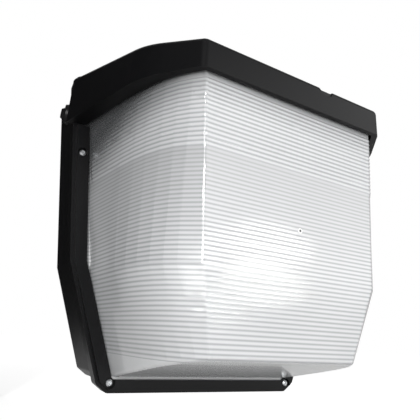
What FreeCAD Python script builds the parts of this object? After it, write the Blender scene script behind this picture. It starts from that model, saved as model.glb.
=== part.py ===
import FreeCAD, Part
import math
import os
import Sketcher

# Wall pack light: a cast back box on the wall, a cast front housing with a visor that
# hinges up on two pins at the top, and a deep ribbed lens held in it by a U-shaped frame.
# +X is to the right seen from the front, +Y points into the wall, +Z is up.
# The origin is in the back face, where the light meets the wall. Depths are measured
# from the wall towards the front, so a depth of 60 lies at Y = -60.

SIZES = [
    # outline shared by the frame, the front housing and the back box
    ("half_top", 205, "half width of the frame outline at top_z"),
    ("half_kink", 176, "half width where the sides start to taper in"),
    ("half_low", 127.5, "half width at the bottom edge"),
    ("top_z", 200, "top of the front housing at its back edge"),
    ("kink_z", -31, "height where the sides start to taper in"),
    ("low_z", -167, "bottom edge of the lens frame"),
    ("corner_cut", 9, "cut across the lower corners of the outline"),
    ("top_cut_in", 6, "cut across the upper corners, measured inwards"),
    ("top_cut_down", 8, "the same measured downwards"),
    # back box
    ("box_depth", 57.7, "depth of the back box"),
    ("box_wall", 3.2, "wall of the back box"),
    ("box_back", 3.8, "back wall of the back box"),
    ("box_rim_out", 2, "how far the box stands out past the frame outline at its rim"),
    ("box_foot_out", 6, "the same at the wall"),
    ("box_top_z", 186, "top of the back box"),
    ("box_low_z", -159, "bottom of the back box"),
    ("wall_hole_span_x", 270, "spacing of the wall screw holes across"),
    ("wall_hole_span_z", 200, "spacing of the wall screw holes up and down"),
    ("wall_hole_z", 20, "height of the middle of the wall screw holes"),
    ("wall_hole_r", 3.5, "radius of the wall screw holes"),
    ("entry_r", 10.3, "radius of a half inch conduit entry"),
    ("entry_boss_r", 16, "radius of the boss round a conduit entry"),
    ("entry_boss_tip_r", 12.5, "radius of the boss at its mouth"),
    ("entry_side_z", 165, "height of the side entries"),
    ("entry_depth", 36, "depth of the conduit entries from the wall"),
    ("entry_stand", 7, "how far a side boss stands out"),
    ("top_entry_stand", 6, "how far the top boss stands up"),
    ("top_entry_depth", 27, "depth of the top entry from the wall"),
    ("plug_head", 4, "head of a closing plug"),
    # seam, hinge and door screws
    ("seam_depth", 60, "depth of the back face of the front housing"),
    ("hinge_depth", 54, "depth of the hinge axis"),
    ("hinge_z", 193, "height of the hinge axis"),
    ("hinge_pin_r", 2.5, "radius of a hinge pin"),
    ("hinge_ear_r", 5.5, "radius of a hinge ear"),
    ("hinge_x", 132, "middle of a hinge from the centre line"),
    ("hinge_front_ear", 20, "width of the ear on the front housing"),
    ("hinge_side_ear", 11, "width of each ear on the back box"),
    ("hinge_side_gap", 0.6, "side gap between the ears"),
    ("running_gap", 0.06, "radial clearance of a running fit"),
    ("screw_r", 2.5, "shank radius of the screws"),
    ("screw_clear", 1.0, "radial clearance round a door screw"),
    ("door_screw_in", 7.5, "door screws inside the outline's half width at the bottom"),
    ("door_screw_z", -159, "height of the door screws"),
    ("door_screw_reach", 12, "how far a door screw enters the back box"),
    # front housing
    ("flange_out", 4, "how far the flange stands out past the frame"),
    ("flange_depth", 19, "depth of the flange behind the frame"),
    ("ledge", 17, "how far the flange reaches in under the lens rim"),
    ("visor_low_z", 135, "lower edge of the visor"),
    ("visor_front_z", 168, "top of the visor at the front"),
    ("visor_front_depth", 260, "front face of the visor"),
    ("visor_bend_half", 161, "half width of the visor at its side bend"),
    ("visor_bend_depth", 210, "depth of that bend"),
    ("visor_front_half", 117, "half width of the visor's front face"),
    ("visor_wall", 4, "wall of the visor"),
    ("visor_lip", 3.5, "thickness of the lip that turns in at the visor's lower edge"),
    ("visor_lip_gap", 2.5, "gap between that lip and the lens"),
    ("visor_edge_r", 6, "rounding of the visor's top edge"),
    ("visor_bend_r", 100, "rounding of the visor's side bends"),
    ("visor_corner_r", 9, "rounding of the visor's front corners"),
    ("port_x", 37, "blanked control port from the centre line"),
    ("port_r", 11, "radius of the blanked control port"),
    ("port_z", 169.5, "height of its centre"),
    ("port_deep", 13, "depth of the port"),
    ("port_set_back", 3, "how far the blank sits behind the visor's face"),
    # lens, gasket and frame
    ("frame_thick", 6, "thickness of the lens frame"),
    ("frame_band", 13.5, "width of the frame's side bars"),
    ("frame_band_low", 11.5, "width of the frame's bottom bar"),
    ("frame_gap_z", 3, "gap between the frame's ends and the visor"),
    ("rim_thick", 3.5, "thickness of the lens rim"),
    ("rim_inset", 5, "lens rim inside the frame outline"),
    ("rim_top_z", 156, "top of the lens rim"),
    ("seal_thick", 2, "thickness of the lens and door seals"),
    ("lens_fit", 0.8, "gap between lens and frame"),
    ("frame_inner_cut", 2.5, "cut across the frame's lower inside corners"),
    ("rim_notch_gap", 0.6, "radial gap round a screw that passes the lens rim"),
    ("seal_eye", 3.5, "rubber left round a door screw in the door seal"),
    ("lens_wall", 3.2, "wall of the lens"),
    ("lens_top_z", 150, "top of the lens bowl, inside the visor"),
    ("lens_kink_z", -47, "height where the lens starts to taper in"),
    ("lens_depth", 252, "front face of the lens"),
    ("lens_low_depth", 230, "depth of the lens front, carried down to low_z"),
    ("lens_bend_half", 143, "half width of the lens at its side bend"),
    ("lens_bend_depth", 218, "depth of that bend"),
    ("lens_bend_low", 100, "half width at the bend, carried down to low_z"),
    ("lens_bend_low_depth", 204, "depth of the bend, carried down to low_z"),
    ("lens_front_top", 111, "half width of the lens front at the top"),
    ("lens_front_kink", 101, "half width of the lens front at the kink"),
    ("lens_front_low", 72, "half width of the lens front, carried down to low_z"),
    ("under_back_z", -154, "underside of the lens at the frame"),
    ("under_front_z", -118, "underside of the lens at its front edge"),
    ("under_front_depth", 236, "depth of that front edge"),
    ("lens_edge_r", 6, "rounding of the lens edges"),
    ("lens_turn_back", 62, "depth over which a side starts to turn before its bend"),
    ("lens_turn_in", 24, "how far past the bend the turn ends, measured inwards"),
    ("lens_front_r", 5, "rounding of the lens's upright front edges"),
    ("frame_screw_z", 97, "height of the upper frame screws"),
    ("screw_head_r", 3.8, "radius of a screw head"),
    ("screw_head", 3, "height of a screw head"),
    ("recess_r", 5.9, "radius of the recess round a screw head"),
    ("recess_deep", 3.2, "depth of that recess"),
    # gear
    ("gear_plate", 1.6, "thickness of the gear plate"),
    ("gear_plate_depth", 8, "back of the gear plate"),
    ("gear_plate_half", 118, "half width of the gear plate"),
    ("gear_plate_low", -92, "bottom of the gear plate"),
    ("gear_plate_top", 132, "top of the gear plate"),
    ("core_x", -52, "middle of the ballast"),
    ("core_z", 70, "height of the ballast"),
    ("core_long", 96, "length of the ballast core"),
    ("core_tall", 68, "height of the ballast core"),
    ("core_deep", 34, "stack of the ballast core"),
    ("coil_long", 62, "length of the ballast coil"),
    ("coil_tall", 40, "height of the ballast coil"),
    ("coil_deep", 45, "depth of the ballast coil"),
    ("can_r", 19, "radius of the capacitor"),
    ("can_long", 86, "length of the capacitor"),
    ("can_x", 66, "middle of the capacitor"),
    ("can_z", 84, "height of the capacitor"),
    ("strap_wide", 14, "width of the capacitor strap"),
    ("strap_thick", 1.2, "thickness of the capacitor strap"),
    ("strap_foot", 13, "how far each foot of the strap stands out past the can"),
    ("ignitor_wide", 34, "width of the ignitor"),
    ("ignitor_tall", 46, "height of the ignitor"),
    ("ignitor_deep", 28, "depth of the ignitor"),
    ("ignitor_x", -84, "middle of the ignitor"),
    ("ignitor_z", -18, "height of the ignitor"),
    ("block_long", 58, "length of the terminal block"),
    ("block_tall", 22, "height of the terminal block"),
    ("block_deep", 20, "depth of the terminal block"),
    ("block_x", 20, "middle of the terminal block"),
    ("block_z", 8, "height of the terminal block"),
    ("earth_r", 2, "shank radius of the earth screw"),
    ("earth_out", 20, "earth screw beyond the terminal block's end"),
    ("earth_head", 3, "height of the earth screw's head"),
    ("lead_r", 1.5, "radius of a lead with its insulation"),
    ("touch_gap", 0.05, "gap left between a lead's end and what it meets"),
    # reflector, socket and lamp
    ("panel_depth", 60.8, "back of the reflector"),
    ("panel_thick", 1, "thickness of the reflector"),
    ("panel_inset", 21, "reflector edge inside the frame outline"),
    ("panel_top_z", 140, "top edge of the reflector"),
    ("panel_low_z", -146, "bottom edge of the reflector"),
    ("panel_lip", 13, "forward lip along the reflector's edges"),
    ("panel_post_top_x", 148, "upper reflector posts from the centre line"),
    ("panel_post_top_z", 96, "height of the upper reflector posts"),
    ("panel_post_low_x", 104, "lower reflector posts from the centre line"),
    ("panel_post_low_z", -122, "height of the lower reflector posts"),
    ("lamp_z", -12, "height of the lamp"),
    ("lamp_depth", 132, "depth of the lamp"),
    ("bulb_r", 27, "radius of the bulb"),
    ("bulb_end_x", -2, "far end of the bulb"),
    ("bulb_neck_x", 88, "where the bulb narrows to its neck"),
    ("neck_r", 16, "radius of the bulb's neck"),
    ("cap_x", 104, "where the lamp's screw cap starts"),
    ("cap_r", 13, "radius of the screw cap"),
    ("cap_long", 24, "length of the screw cap"),
    ("socket_r", 21, "radius of the lamp socket"),
    ("socket_long", 38, "length of the lamp socket"),
    ("socket_floor", 8, "closed end of the lamp socket"),
    ("bracket_thick", 2, "sheet of the socket bracket"),
    ("bracket_wide", 36, "width of the socket bracket"),
]

doc = FreeCAD.newDocument("WallPackLight")
sheet = doc.addObject("Spreadsheet::Sheet", "Dims")
for row, (alias, value, note) in enumerate(SIZES, start=1):
    sheet.set(f"A{row}", note)
    sheet.set(f"B{row}", str(value))
    sheet.setAlias(f"B{row}", alias)
doc.recompute()

FULL_TURN = 360.0
NODES = []


# ---------------------------------------------------------------- small helpers
def size(text):
    """Turn words such as 'half_top - ledge' into an expression on the sheet."""
    for alias in sorted((name for name, _, _ in SIZES), key=len, reverse=True):
        text = swap_word(text, alias, "Dims.~")
    return text.replace("~", "")


def swap_word(text, word, prefix):
    out = ""
    at = 0
    while at < len(text):
        hit = text.find(word, at)
        if hit < 0:
            out += text[at:]
            break
        end = hit + len(word)
        before = text[hit - 1] if hit else " "
        after = text[end] if end < len(text) else " "
        free = not (before.isalnum() or before in "_.~") and not (after.isalnum() or after == "_")
        out += text[at:hit] + (prefix + word if free else word)
        at = end
    return out


def number(text):
    """The value of an expression in millimetres."""
    result = sheet.evalExpression(size(str(text)))
    return float(getattr(result, "Value", result))


def bind(thing, **sizes):
    for name, text in sizes.items():
        thing.setExpression(name.replace("__", "."), size(str(text)))


def place(thing, x="0", depth="0", z="0", axis=None, angle=0):
    """Put a primitive at X, depth and height, turned about an axis."""
    if axis:
        thing.Placement = FreeCAD.Placement(FreeCAD.Vector(), FreeCAD.Rotation(axis, angle))
    bind(thing, Placement__Base__x=x, Placement__Base__y=f"-({depth})", Placement__Base__z=z)


def node(thing, name):
    thing.Label = name
    NODES.append(thing)
    return thing


TO_FRONT = (FreeCAD.Vector(1, 0, 0), 90)
ALONG_X = (FreeCAD.Vector(0, 1, 0), 90)
ALONG_Z = (None, 0)


def rod(name, radius, length, x="0", depth="0", z="0", way=TO_FRONT):
    """A cylinder: TO_FRONT grows towards the front, ALONG_X to the right, ALONG_Z up."""
    thing = doc.addObject("Part::Cylinder", name)
    place(thing, x, depth, z, *way)
    bind(thing, Radius=radius, Height=length)
    return thing


def cone(name, foot, tip, length, x="0", depth="0", z="0", way=TO_FRONT):
    thing = doc.addObject("Part::Cone", name)
    place(thing, x, depth, z, *way)
    bind(thing, Radius1=foot, Radius2=tip, Height=length)
    return thing


def block(name, wide, deep, tall, x="0", depth="0", z="0"):
    """A box centred on X and Z whose back face lies at the given depth."""
    thing = doc.addObject("Part::Box", name)
    bind(thing, Length=wide, Width=deep, Height=tall)
    place(thing, f"({x}) - ({wide}) / 2", f"({depth}) + ({deep})", f"({z}) - ({tall}) / 2")
    return thing


def fuse(name, *things):
    thing = doc.addObject("Part::MultiFuse", name)
    thing.Shapes = list(things)
    thing.Refine = True
    return thing


def cut(name, base, *tools):
    for index, tool in enumerate(tools):
        thing = doc.addObject("Part::Cut", f"{name}_{index}" if index < len(tools) - 1 else name)
        thing.Base = base
        thing.Tool = tool
        thing.Refine = True
        base = thing
    return base


def group(name, *things):
    """Like pieces that stay separate solids in one node."""
    thing = doc.addObject("Part::Compound", name)
    thing.Links = list(things)
    return thing


def new_body(name):
    return doc.addObject("PartDesign::Body", name)


def sketch_on(body, name, role, offset="0"):
    plane = [item for item in body.Origin.OriginFeatures if item.Role == role][0]
    sketch = body.newObject("Sketcher::SketchObject", name)
    sketch.AttachmentSupport = (plane, [""])
    sketch.MapMode = "FlatFace"
    sketch.setExpression("AttachmentOffset.Base.z", size(offset))
    return sketch


def polygon(sketch, points):
    """Straight sides through points given as expressions, each fixed from the origin."""
    first = sketch.GeometryCount
    spots = [FreeCAD.Vector(number(u), number(v), 0) for u, v in points]
    for index, spot in enumerate(spots):
        sketch.addGeometry(Part.LineSegment(spot, spots[(index + 1) % len(spots)]), False)
    for index, (u, v) in enumerate(points):
        here = first + index
        following = first + (index + 1) % len(points)
        sketch.addConstraint(Sketcher.Constraint("Coincident", here, 2, following, 1))
        for kind, text in (("DistanceX", u), ("DistanceY", v)):
            at = sketch.addConstraint(Sketcher.Constraint(kind, -1, 1, here, 1, number(text)))
            sketch.setExpression(f"Constraints[{at}]", size(text))


def pad(body, name, sketch, length, reverse=False):
    feature = body.newObject("PartDesign::Pad", name)
    feature.Profile = sketch
    feature.Reversed = reverse
    feature.setExpression("Length", size(length))
    return feature


def pocket(body, name, sketch, length, forward=True, both=False):
    """Cut along the sketch's own direction, or with both to each side of it."""
    feature = body.newObject("PartDesign::Pocket", name)
    feature.Profile = sketch
    feature.Reversed = forward
    feature.Midplane = both
    feature.setExpression("Length", size(length))
    return feature


def loft(body, name, sketches):
    feature = body.newObject("PartDesign::AdditiveLoft", name)
    feature.Profile = sketches[0]
    feature.Sections = sketches[1:]
    feature.Ruled = True
    return feature


def round_edges(body, name, radius, wanted):
    """Fillet the edges of the body's last feature that the test picks out."""
    doc.recompute()
    base = body.Tip
    names = [f"Edge{i}" for i, edge in enumerate(base.Shape.Edges, start=1) if wanted(edge)]
    feature = body.newObject("PartDesign::Fillet", name)
    feature.Base = (base, names)
    feature.setExpression("Radius", size(radius))
    doc.recompute()
    return feature


def half_at(z, out="0"):
    """Half width of the outline at a height above the kink, moved out by a distance."""
    lean = "(half_top - half_kink) / (top_z - kink_z)"
    return f"half_kink + ({z} - kink_z) * {lean} + ({out})"


def low_half_at(z, out="0"):
    """Half width of the outline at a height below the kink, moved out by a distance."""
    lean = "(half_kink - half_low) / (kink_z - low_z)"
    return f"half_low + ({z} - low_z) * {lean} + ({out})"


def outline(top, low, out, cut_size="corner_cut"):
    """The ten corners of the tapered outline, moved out sideways by a distance."""
    half = [
        (f"{half_at(top, out)} - top_cut_in", top),
        (f"{half_at(top, out)}", f"{top} - top_cut_down"),
        (f"half_kink + ({out})", "kink_z"),
        (f"{low_half_at(f'{low} + {cut_size}', out)}", f"{low} + {cut_size}"),
        (f"{low_half_at(low, out)} - {cut_size}", low),
    ]
    left = [(f"-({u})", v) for u, v in reversed(half)]
    return half + left


def slanting(edge):
    """True for an edge that runs mostly from back to front."""
    run = edge.Vertexes[-1].Point - edge.Vertexes[0].Point
    return run.Length > 1 and abs(run.y) > 0.9 * run.Length


# ---------------------------------------------------------------- back box
def make_back_box():
    """Cast pan on the wall: loft from the wall to the rim, hollowed, with its bosses."""
    body = new_body("box_casting")
    foot = sketch_on(body, "box_foot", "XZ_Plane")
    polygon(foot, outline("box_top_z", "box_low_z", "box_foot_out"))
    rim = sketch_on(body, "box_rim", "XZ_Plane", "box_depth")
    polygon(rim, outline("box_top_z", "box_low_z", "box_rim_out"))
    loft(body, "box_shell", [foot, rim])
    round_edges(body, "box_corners", "corner_cut * 0.6", slanting)

    hollow = new_body("box_hollow")
    floor = sketch_on(hollow, "hollow_foot", "XZ_Plane", "box_back")
    inner = "box_top_z - box_wall", "box_low_z + box_wall"
    polygon(floor, outline(*inner, "box_foot_out - box_wall"))
    mouth = sketch_on(hollow, "hollow_mouth", "XZ_Plane", "box_depth")
    polygon(mouth, outline(*inner, "box_rim_out - box_wall"))
    loft(hollow, "hollow_space", [floor, mouth])
    extra = sketch_on(hollow, "hollow_front", "XZ_Plane", "box_depth")
    polygon(extra, outline(*inner, "box_rim_out - box_wall"))
    pad(hollow, "hollow_run_out", extra, "10")

    posts = [rod(f"plate_post_{i}", "5", "gear_plate_depth - box_back + 1", x, "box_back - 1", z)
             for i, (x, z) in enumerate(plate_post_spots())]
    ears = [hinge_ear(f"box_ear_{side}_{i}", side, i) for side in ("l", "r") for i in (0, 1)]
    screw_bosses = [rod(f"screw_boss_{s}", "screw_r + screw_clear + 4", "door_screw_reach + 8",
                        f"{w} * (half_low - door_screw_in)", "box_depth - door_screw_reach - 8", "door_screw_z")
                    for s, w in (("l", -1), ("r", 1))]
    stands = [rod(f"panel_post_{i}", "4.5", "panel_depth - box_back + 1", x, "box_back - 1", z)
              for i, (x, z) in enumerate(panel_post_spots())]
    side_bosses = [entry_boss("l", -1), entry_boss("r", 1)]
    top_boss = rod("top_boss", "entry_boss_r - 1", "top_entry_stand + box_wall + 5", "0", "top_entry_depth",
                   "box_top_z - box_wall - 5", ALONG_Z)
    solid = fuse("box_with_bosses", cut("box_open", body, hollow), *posts, *stands, *ears,
                 *screw_bosses, *side_bosses, top_boss)

    holes = []
    for i, (sx, sz) in enumerate(((-1, -1), (1, -1), (1, 1), (-1, 1))):
        holes.append(rod(f"wall_hole_{i}", "wall_hole_r", "box_back + 6", f"{sx} * wall_hole_span_x / 2",
                         "-3", f"wall_hole_z + {sz} * wall_hole_span_z / 2"))
    for i, (x, z) in enumerate(plate_post_spots()):
        holes.append(rod(f"post_hole_{i}", "1.6", "gear_plate_depth - 1", x, "1.5", z))
    for i, (x, z) in enumerate(panel_post_spots()):
        holes.append(rod(f"panel_post_hole_{i}", "1.6", "14", x, "panel_depth - 12", z))
    for s, w in (("l", -1), ("r", 1)):
        holes.append(rod(f"door_hole_{s}", "screw_r + screw_clear", "door_screw_reach + 6",
                         f"{w} * (half_low - door_screw_in)", "box_depth - door_screw_reach - 3", "door_screw_z"))
        holes.append(rod(f"pin_hole_{s}", "hinge_pin_r", "60", f"{w} * hinge_x - 30", "hinge_depth",
                         "hinge_z", ALONG_X))
        holes.append(rod(f"entry_{s}", "entry_r", "60", f"{w} * ({half_at('entry_side_z')}) - 30",
                         "entry_depth", "entry_side_z", ALONG_X))
    holes.append(rod("entry_top", "entry_r", "60", "0", "top_entry_depth", "box_top_z - 30", ALONG_Z))
    return node(cut("back_box_casting", solid, fuse("box_holes", *holes)), "back_box")


def plate_post_spots():
    return [("-gear_plate_half + 10", "gear_plate_low + 10"), ("gear_plate_half - 10", "gear_plate_low + 10"),
            ("gear_plate_half - 10", "gear_plate_top - 10"), ("-gear_plate_half + 10", "gear_plate_top - 10")]


def panel_post_spots():
    return [("-panel_post_low_x", "panel_post_low_z"), ("panel_post_low_x", "panel_post_low_z"),
            ("panel_post_top_x", "panel_post_top_z"), ("-panel_post_top_x", "panel_post_top_z")]


def hinge_ear(name, side, index):
    """An upright ear on the box's top edge, left and right of the front housing's ear."""
    sign = -1 if side == "l" else 1
    away = "(hinge_front_ear / 2 + hinge_side_gap + hinge_side_ear / 2)"
    x = f"{sign} * hinge_x + {1 if index else -1} * {away}"
    eye = rod(f"{name}_eye", "hinge_ear_r", "hinge_side_ear", f"{x} - hinge_side_ear / 2", "hinge_depth",
              "hinge_z", ALONG_X)
    web = block(f"{name}_web", "hinge_side_ear", "2 * hinge_ear_r", "hinge_z - box_top_z + 2", x,
                "hinge_depth - hinge_ear_r", "(hinge_z + box_top_z - 2) / 2")
    trim = block(f"{name}_trim", "hinge_side_ear + 2", "20", "40", x, "box_depth", "hinge_z - 18")
    return cut(name, fuse(f"{name}_whole", eye, web), trim)


def entry_boss(side, sign):
    """Tapered boss for a side conduit entry, with a flat at its mouth."""
    long = "entry_stand + 12"
    start = f"{sign} * ({half_at('entry_side_z', 'box_rim_out')} - 12)"
    turn = (FreeCAD.Vector(0, 1, 0), 90 * sign)
    return cone(f"entry_boss_{side}", "entry_boss_r + 2.5", "entry_boss_tip_r", long, start, "entry_depth",
                "entry_side_z", turn)


def make_hinge_pins():
    long = "hinge_front_ear + 2 * hinge_side_gap + 2 * hinge_side_ear"
    pins = [rod(f"hinge_pin_{s}", "hinge_pin_r", long, f"{w} * hinge_x - ({long}) / 2", "hinge_depth",
                "hinge_z", ALONG_X) for s, w in (("l", -1), ("r", 1))]
    return node(group("hinge_pin_pair", *pins), "hinge_pins")


def make_plugs():
    """Screwed plugs with a hexagon head that close the side conduit entries."""
    plugs = []
    for s, w in (("l", -1), ("r", 1)):
        mouth = f"{w} * ({half_at('entry_side_z', 'box_rim_out')} + entry_stand)"
        turn = (FreeCAD.Vector(0, 1, 0), 90 * w)
        back = (FreeCAD.Vector(0, 1, 0), -90 * w)
        stem = rod(f"plug_stem_{s}", "entry_r", "11", mouth, "entry_depth", "entry_side_z", back)
        head = cone(f"plug_head_{s}", "8.5", "6", "plug_head", mouth, "entry_depth", "entry_side_z", turn)
        plugs.append(fuse(f"plug_{s}", stem, head))
    return node(group("plug_pair", *plugs), "conduit_plugs")


def make_door_seal():
    """Square cord of sealing rubber round the rim of the back box."""
    body = new_body("door_seal_cord")
    path = sketch_on(body, "door_seal_outline", "XZ_Plane", "box_depth")
    polygon(path, outline("box_top_z - 0.3", "box_low_z + 0.3", "box_rim_out - 0.3"))
    polygon(path, outline("box_top_z - box_wall", "box_low_z + box_wall", "box_rim_out - box_wall"))
    thick = "seam_depth - box_depth - 0.1"
    pad(body, "door_seal_ring", path, thick)
    eyes = []
    holes = []
    for s, w in (("l", -1), ("r", 1)):
        x = f"{w} * (half_low - door_screw_in)"
        eyes.append(rod(f"seal_eye_{s}", "screw_r + screw_clear + seal_eye", thick, x, "box_depth", "door_screw_z"))
        holes.append(rod(f"seal_eye_hole_{s}", "screw_r + screw_clear", f"{thick} + 2", x, "box_depth - 1",
                         "door_screw_z"))
    return node(cut("door_seal_cut", fuse("door_seal_eyed", body, *eyes), fuse("seal_holes", *holes)), "door_seal")


# ---------------------------------------------------------------- front housing
def visor_plan(inset):
    """Plan corners of the visor from its back left corner round the front."""
    back = f"{half_at('top_z', 'flange_out')} - {inset}"
    half = [
        (back, "-(seam_depth + flange_depth - 4)"),
        (f"visor_bend_half - {inset}", f"-(visor_bend_depth - {inset} * 0.3)"),
        (f"visor_front_half - {inset} * 0.45", f"-(visor_front_depth - {inset})"),
    ]
    left = [(f"-({u})", v) for u, v in reversed(half)]
    return half + left


def slope_at(depth):
    """Height of the visor's top face at a depth."""
    fall = "(top_z - visor_front_z) / (visor_front_depth - seam_depth)"
    return f"top_z - ({depth} - seam_depth) * {fall}"


def make_visor(name, inset):
    """The visor's outer form, or with an inset its hollow."""
    body = new_body(name)
    base = sketch_on(body, f"{name}_plan", "XY_Plane", "visor_low_z - 20" if inset != "0" else "visor_low_z")
    polygon(base, visor_plan(inset))
    pad(body, f"{name}_block", base, "top_z - visor_low_z + 40")
    side = sketch_on(body, f"{name}_side", "YZ_Plane")
    far = "visor_front_depth + 30"
    polygon(side, [("0", f"{slope_at('0')} - {inset}"), ("0", "top_z + 90"),
                   (f"-({far})", "top_z + 90"), (f"-({far})", f"{slope_at(far)} - {inset}")])
    pocket(body, f"{name}_slope", side, "4 * half_top", both=True)
    doc.recompute()
    front = number("visor_front_half - 1")

    def upright(edge, low, high):
        spot = edge.CenterOfMass
        run = edge.Vertexes[-1].Point - edge.Vertexes[0].Point
        return abs(run.z) > 0.9 * run.Length and low < abs(spot.x) < high and run.Length > 5

    def top_edge(edge):
        heights = [vertex.Point.z for vertex in edge.Vertexes]
        depths = [-vertex.Point.y for vertex in edge.Vertexes]
        return all(abs(h - number(slope_at(str(d)))) < 0.5 for h, d in zip(heights, depths)) and not (
            max(depths) < number("seam_depth + flange_depth"))

    bend = number("visor_bend_half")
    if inset == "0":
        round_edges(body, f"{name}_bends", "visor_bend_r", lambda e: upright(e, bend - 3, bend + 3))
        round_edges(body, f"{name}_corners", "visor_corner_r", lambda e: upright(e, front - 3, front + 4))
        round_edges(body, f"{name}_top", "visor_edge_r", top_edge)
    else:
        round_edges(body, f"{name}_bends", f"visor_bend_r - {inset}", lambda e: upright(e, bend - 12, bend + 3))
    return body


def make_visor_lip():
    """Lip at the visor's lower edge that closes the gap to the lens and holds the rim's top."""
    plate = new_body("visor_lip_plate")
    outer = sketch_on(plate, "visor_lip_plan", "XY_Plane", "visor_low_z")
    polygon(outer, visor_plan("(visor_wall - 1)"))
    pad(plate, "visor_lip_pad", outer, "visor_lip")
    passage = new_body("visor_lip_passage")
    around = sketch_on(passage, "visor_lip_passage_plan", "XY_Plane", "visor_low_z - 1")
    polygon(around, lens_section("lens_top_z", "(-visor_lip_gap)", "seam_depth + flange_depth - 1"))
    pad(passage, "visor_lip_passage_pad", around, "visor_lip + 2")
    behind = block("visor_lip_back_stop", "4 * half_top", "40", "40", "0",
                   "seam_depth + flange_depth - 40", "visor_low_z")
    return cut("visor_lip_ring", plate, passage, behind)


def make_front_housing():
    """Cast flange and visor in one piece, with a ledge that carries the lens."""
    flange = new_body("flange_casting")
    ring_sketch = sketch_on(flange, "flange_outline", "XZ_Plane", "seam_depth")
    polygon(ring_sketch, outline("top_z", "low_z - 3", "flange_out"))
    pad(flange, "flange_block", ring_sketch, "flange_depth")
    round_edges(flange, "flange_corners", "corner_cut * 0.7", slanting)

    opening = new_body("lens_opening")
    through = sketch_on(opening, "opening_outline", "XZ_Plane", "seam_depth - 1")
    polygon(through, outline("lens_top_z - 6", "low_z + ledge", "-(frame_band + 6)"))
    pad(opening, "opening_block", through, "flange_depth + 2")
    rebate = sketch_on(opening, "rebate_outline", "XZ_Plane", "seam_depth + flange_depth - rim_thick - seal_thick")
    polygon(rebate, outline("rim_top_z + 1", "low_z + rim_inset - 1", "-(rim_inset - 1)"))
    pad(opening, "rebate_block", rebate, "rim_thick + seal_thick + 0.5")

    shell = fuse("flange_and_visor", flange, make_visor("visor_form", "0"))
    hollow = make_visor("visor_hollow", "visor_wall")
    back_stop = block("hollow_back_stop", "4 * half_top", "40", "200", "0",
                      "seam_depth + flange_depth - 40", "top_z")
    cup = block("port_cup", "2 * port_r + 7", "port_deep + 4", "14", "port_x",
                "visor_front_depth - port_deep - 5", "port_z - port_r + 0.5")
    ears = [front_ear("l", -1), front_ear("r", 1)]
    cast = fuse("front_casting", cut("front_hollowed", shell, cut("visor_hollow_front", hollow, back_stop)),
                cup, make_visor_lip(), *ears)
    holes = [rod("port_bore", "port_r", "port_deep + 10", "port_x", "visor_front_depth - port_deep", "port_z")]
    for s, w in (("l", -1), ("r", 1)):
        holes.append(rod(f"ear_bore_{s}", "hinge_pin_r + running_gap", "hinge_front_ear + 4",
                         f"{w} * hinge_x - hinge_front_ear / 2 - 2", "hinge_depth", "hinge_z", ALONG_X))
        holes.append(rod(f"flange_door_hole_{s}", "screw_r + 0.4", "flange_depth + 4", f"{w} * (half_low - door_screw_in)",
                         "seam_depth - 2", "door_screw_z"))
        holes.append(rod(f"flange_frame_hole_{s}", "screw_r", "14", f"{w} * ({frame_screw_x()})",
                         "seam_depth + flange_depth - 12", "frame_screw_z"))
        holes.append(rod(f"retainer_seat_{s}", "screw_r + 3.2", "2.2", f"{w} * (half_low - door_screw_in)",
                         "seam_depth - 0.1", "door_screw_z"))
    return node(cut("front_housing_casting", cast, opening, fuse("front_holes", *holes)), "front_housing")


def frame_screw_x():
    return f"{half_at('frame_screw_z')} - frame_band / 2"


def front_ear(side, sign):
    """Ear of the front housing between the two ears of the box."""
    x = f"{sign} * hinge_x"
    eye = rod(f"front_ear_{side}_eye", "hinge_ear_r", "hinge_front_ear", f"{x} - hinge_front_ear / 2",
              "hinge_depth", "hinge_z", ALONG_X)
    arm = block(f"front_ear_{side}_arm", "hinge_front_ear", "seam_depth - hinge_depth + 2",
                "2 * hinge_ear_r", x, "hinge_depth", "hinge_z")
    return fuse(f"front_ear_{side}", eye, arm)


def make_port_blank():
    """Half-round blank that closes the control port in the visor's front top edge."""
    long = "port_deep - port_set_back"
    disc = rod("port_blank_disc", "port_r - 0.3", long, "port_x", "visor_front_depth - port_deep", "port_z")
    trim = block("port_blank_trim", "4 * port_r", "40", "20", "port_x", "visor_front_depth - 30",
                 "visor_front_z + 8")
    return node(cut("port_blank_cut", disc, trim), "port_blank")


# ---------------------------------------------------------------- lens and its frame
TURN_STEPS = 5


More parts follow.
